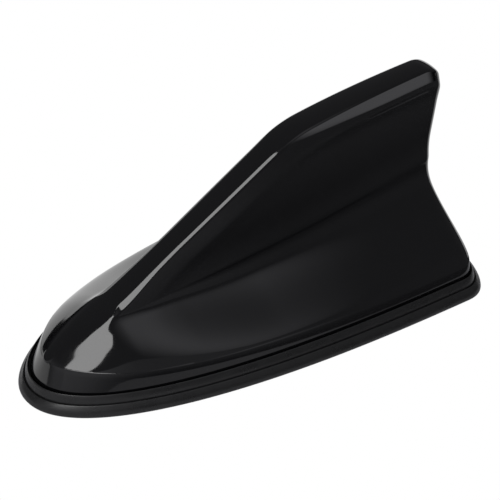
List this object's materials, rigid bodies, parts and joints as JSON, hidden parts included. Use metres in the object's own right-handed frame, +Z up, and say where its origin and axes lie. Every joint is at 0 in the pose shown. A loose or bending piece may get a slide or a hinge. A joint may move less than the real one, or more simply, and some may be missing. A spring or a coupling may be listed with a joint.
{
  "type": "shark fin aerial",
  "caption": "Gloss black shark fin roof aerial with a creased fin and sunk side panels, standing on a black rubber seal, with its base plate, board, coil and sheet element inside.",
  "frame": {"origin": "middle of the base, on the roof plane under the adhesive pad", "axes": "+X from the nose to the tail, +Y across, +Z up from the roof"},
  "size_m": [0.17, 0.0864, 0.073],
  "materials": {
    "fin_cover": "gloss black moulded plastic",
    "base_gasket": "matt black rubber",
    "base_plate": "dark grey moulded plastic",
    "adhesive_pad": "dark grey foam pad",
    "lead_grommet": "black rubber",
    "cover_screws": "zinc plated steel",
    "ground_plate": "tinned sheet",
    "amplifier_board": "green board with solder mask",
    "board_screws": "zinc plated steel",
    "shield_can": "tinned steel",
    "amplifier_chip": "black package",
    "signal_filter": "gold coloured lid",
    "chip_capacitors": "tan ceramic",
    "chip_resistors": "black film on ceramic",
    "supply_choke": "dark ferrite",
    "electrolytic_capacitor": "aluminium can",
    "braid_clamp": "brass",
    "signal_terminal": "brass",
    "coil_former": "natural plastic",
    "loading_coil": "enamelled copper wire",
    "feed_wire": "enamelled copper wire",
    "element_holder": "natural plastic",
    "holder_screws": "zinc plated steel",
    "top_element": "tinned steel sheet",
    "element_screws": "zinc plated steel",
    "foam_damper": "dark grey foam"
  },
  "bodies": {
    "root": {"fin_cover": "fin_cover", "base_gasket": "base_gasket", "base_plate": "base_plate", "adhesive_pad": "adhesive_pad", "lead_grommet": "lead_grommet", "cover_screws": "cover_screws", "ground_plate": "ground_plate", "amplifier_board": "amplifier_board", "board_screws": "board_screws", "shield_can": "shield_can", "amplifier_chip": "amplifier_chip", "signal_filter": "signal_filter", "chip_capacitors": "chip_capacitors", "chip_resistors": "chip_resistors", "supply_choke": "supply_choke", "electrolytic_capacitor": "electrolytic_capacitor", "braid_clamp": "braid_clamp", "signal_terminal": "signal_terminal", "coil_former": "coil_former", "loading_coil": "loading_coil", "feed_wire": "feed_wire", "element_holder": "element_holder", "holder_screws": "holder_screws", "top_element": "top_element", "element_screws": "element_screws", "foam_damper": "foam_damper"}
  },
  "joints": []
}
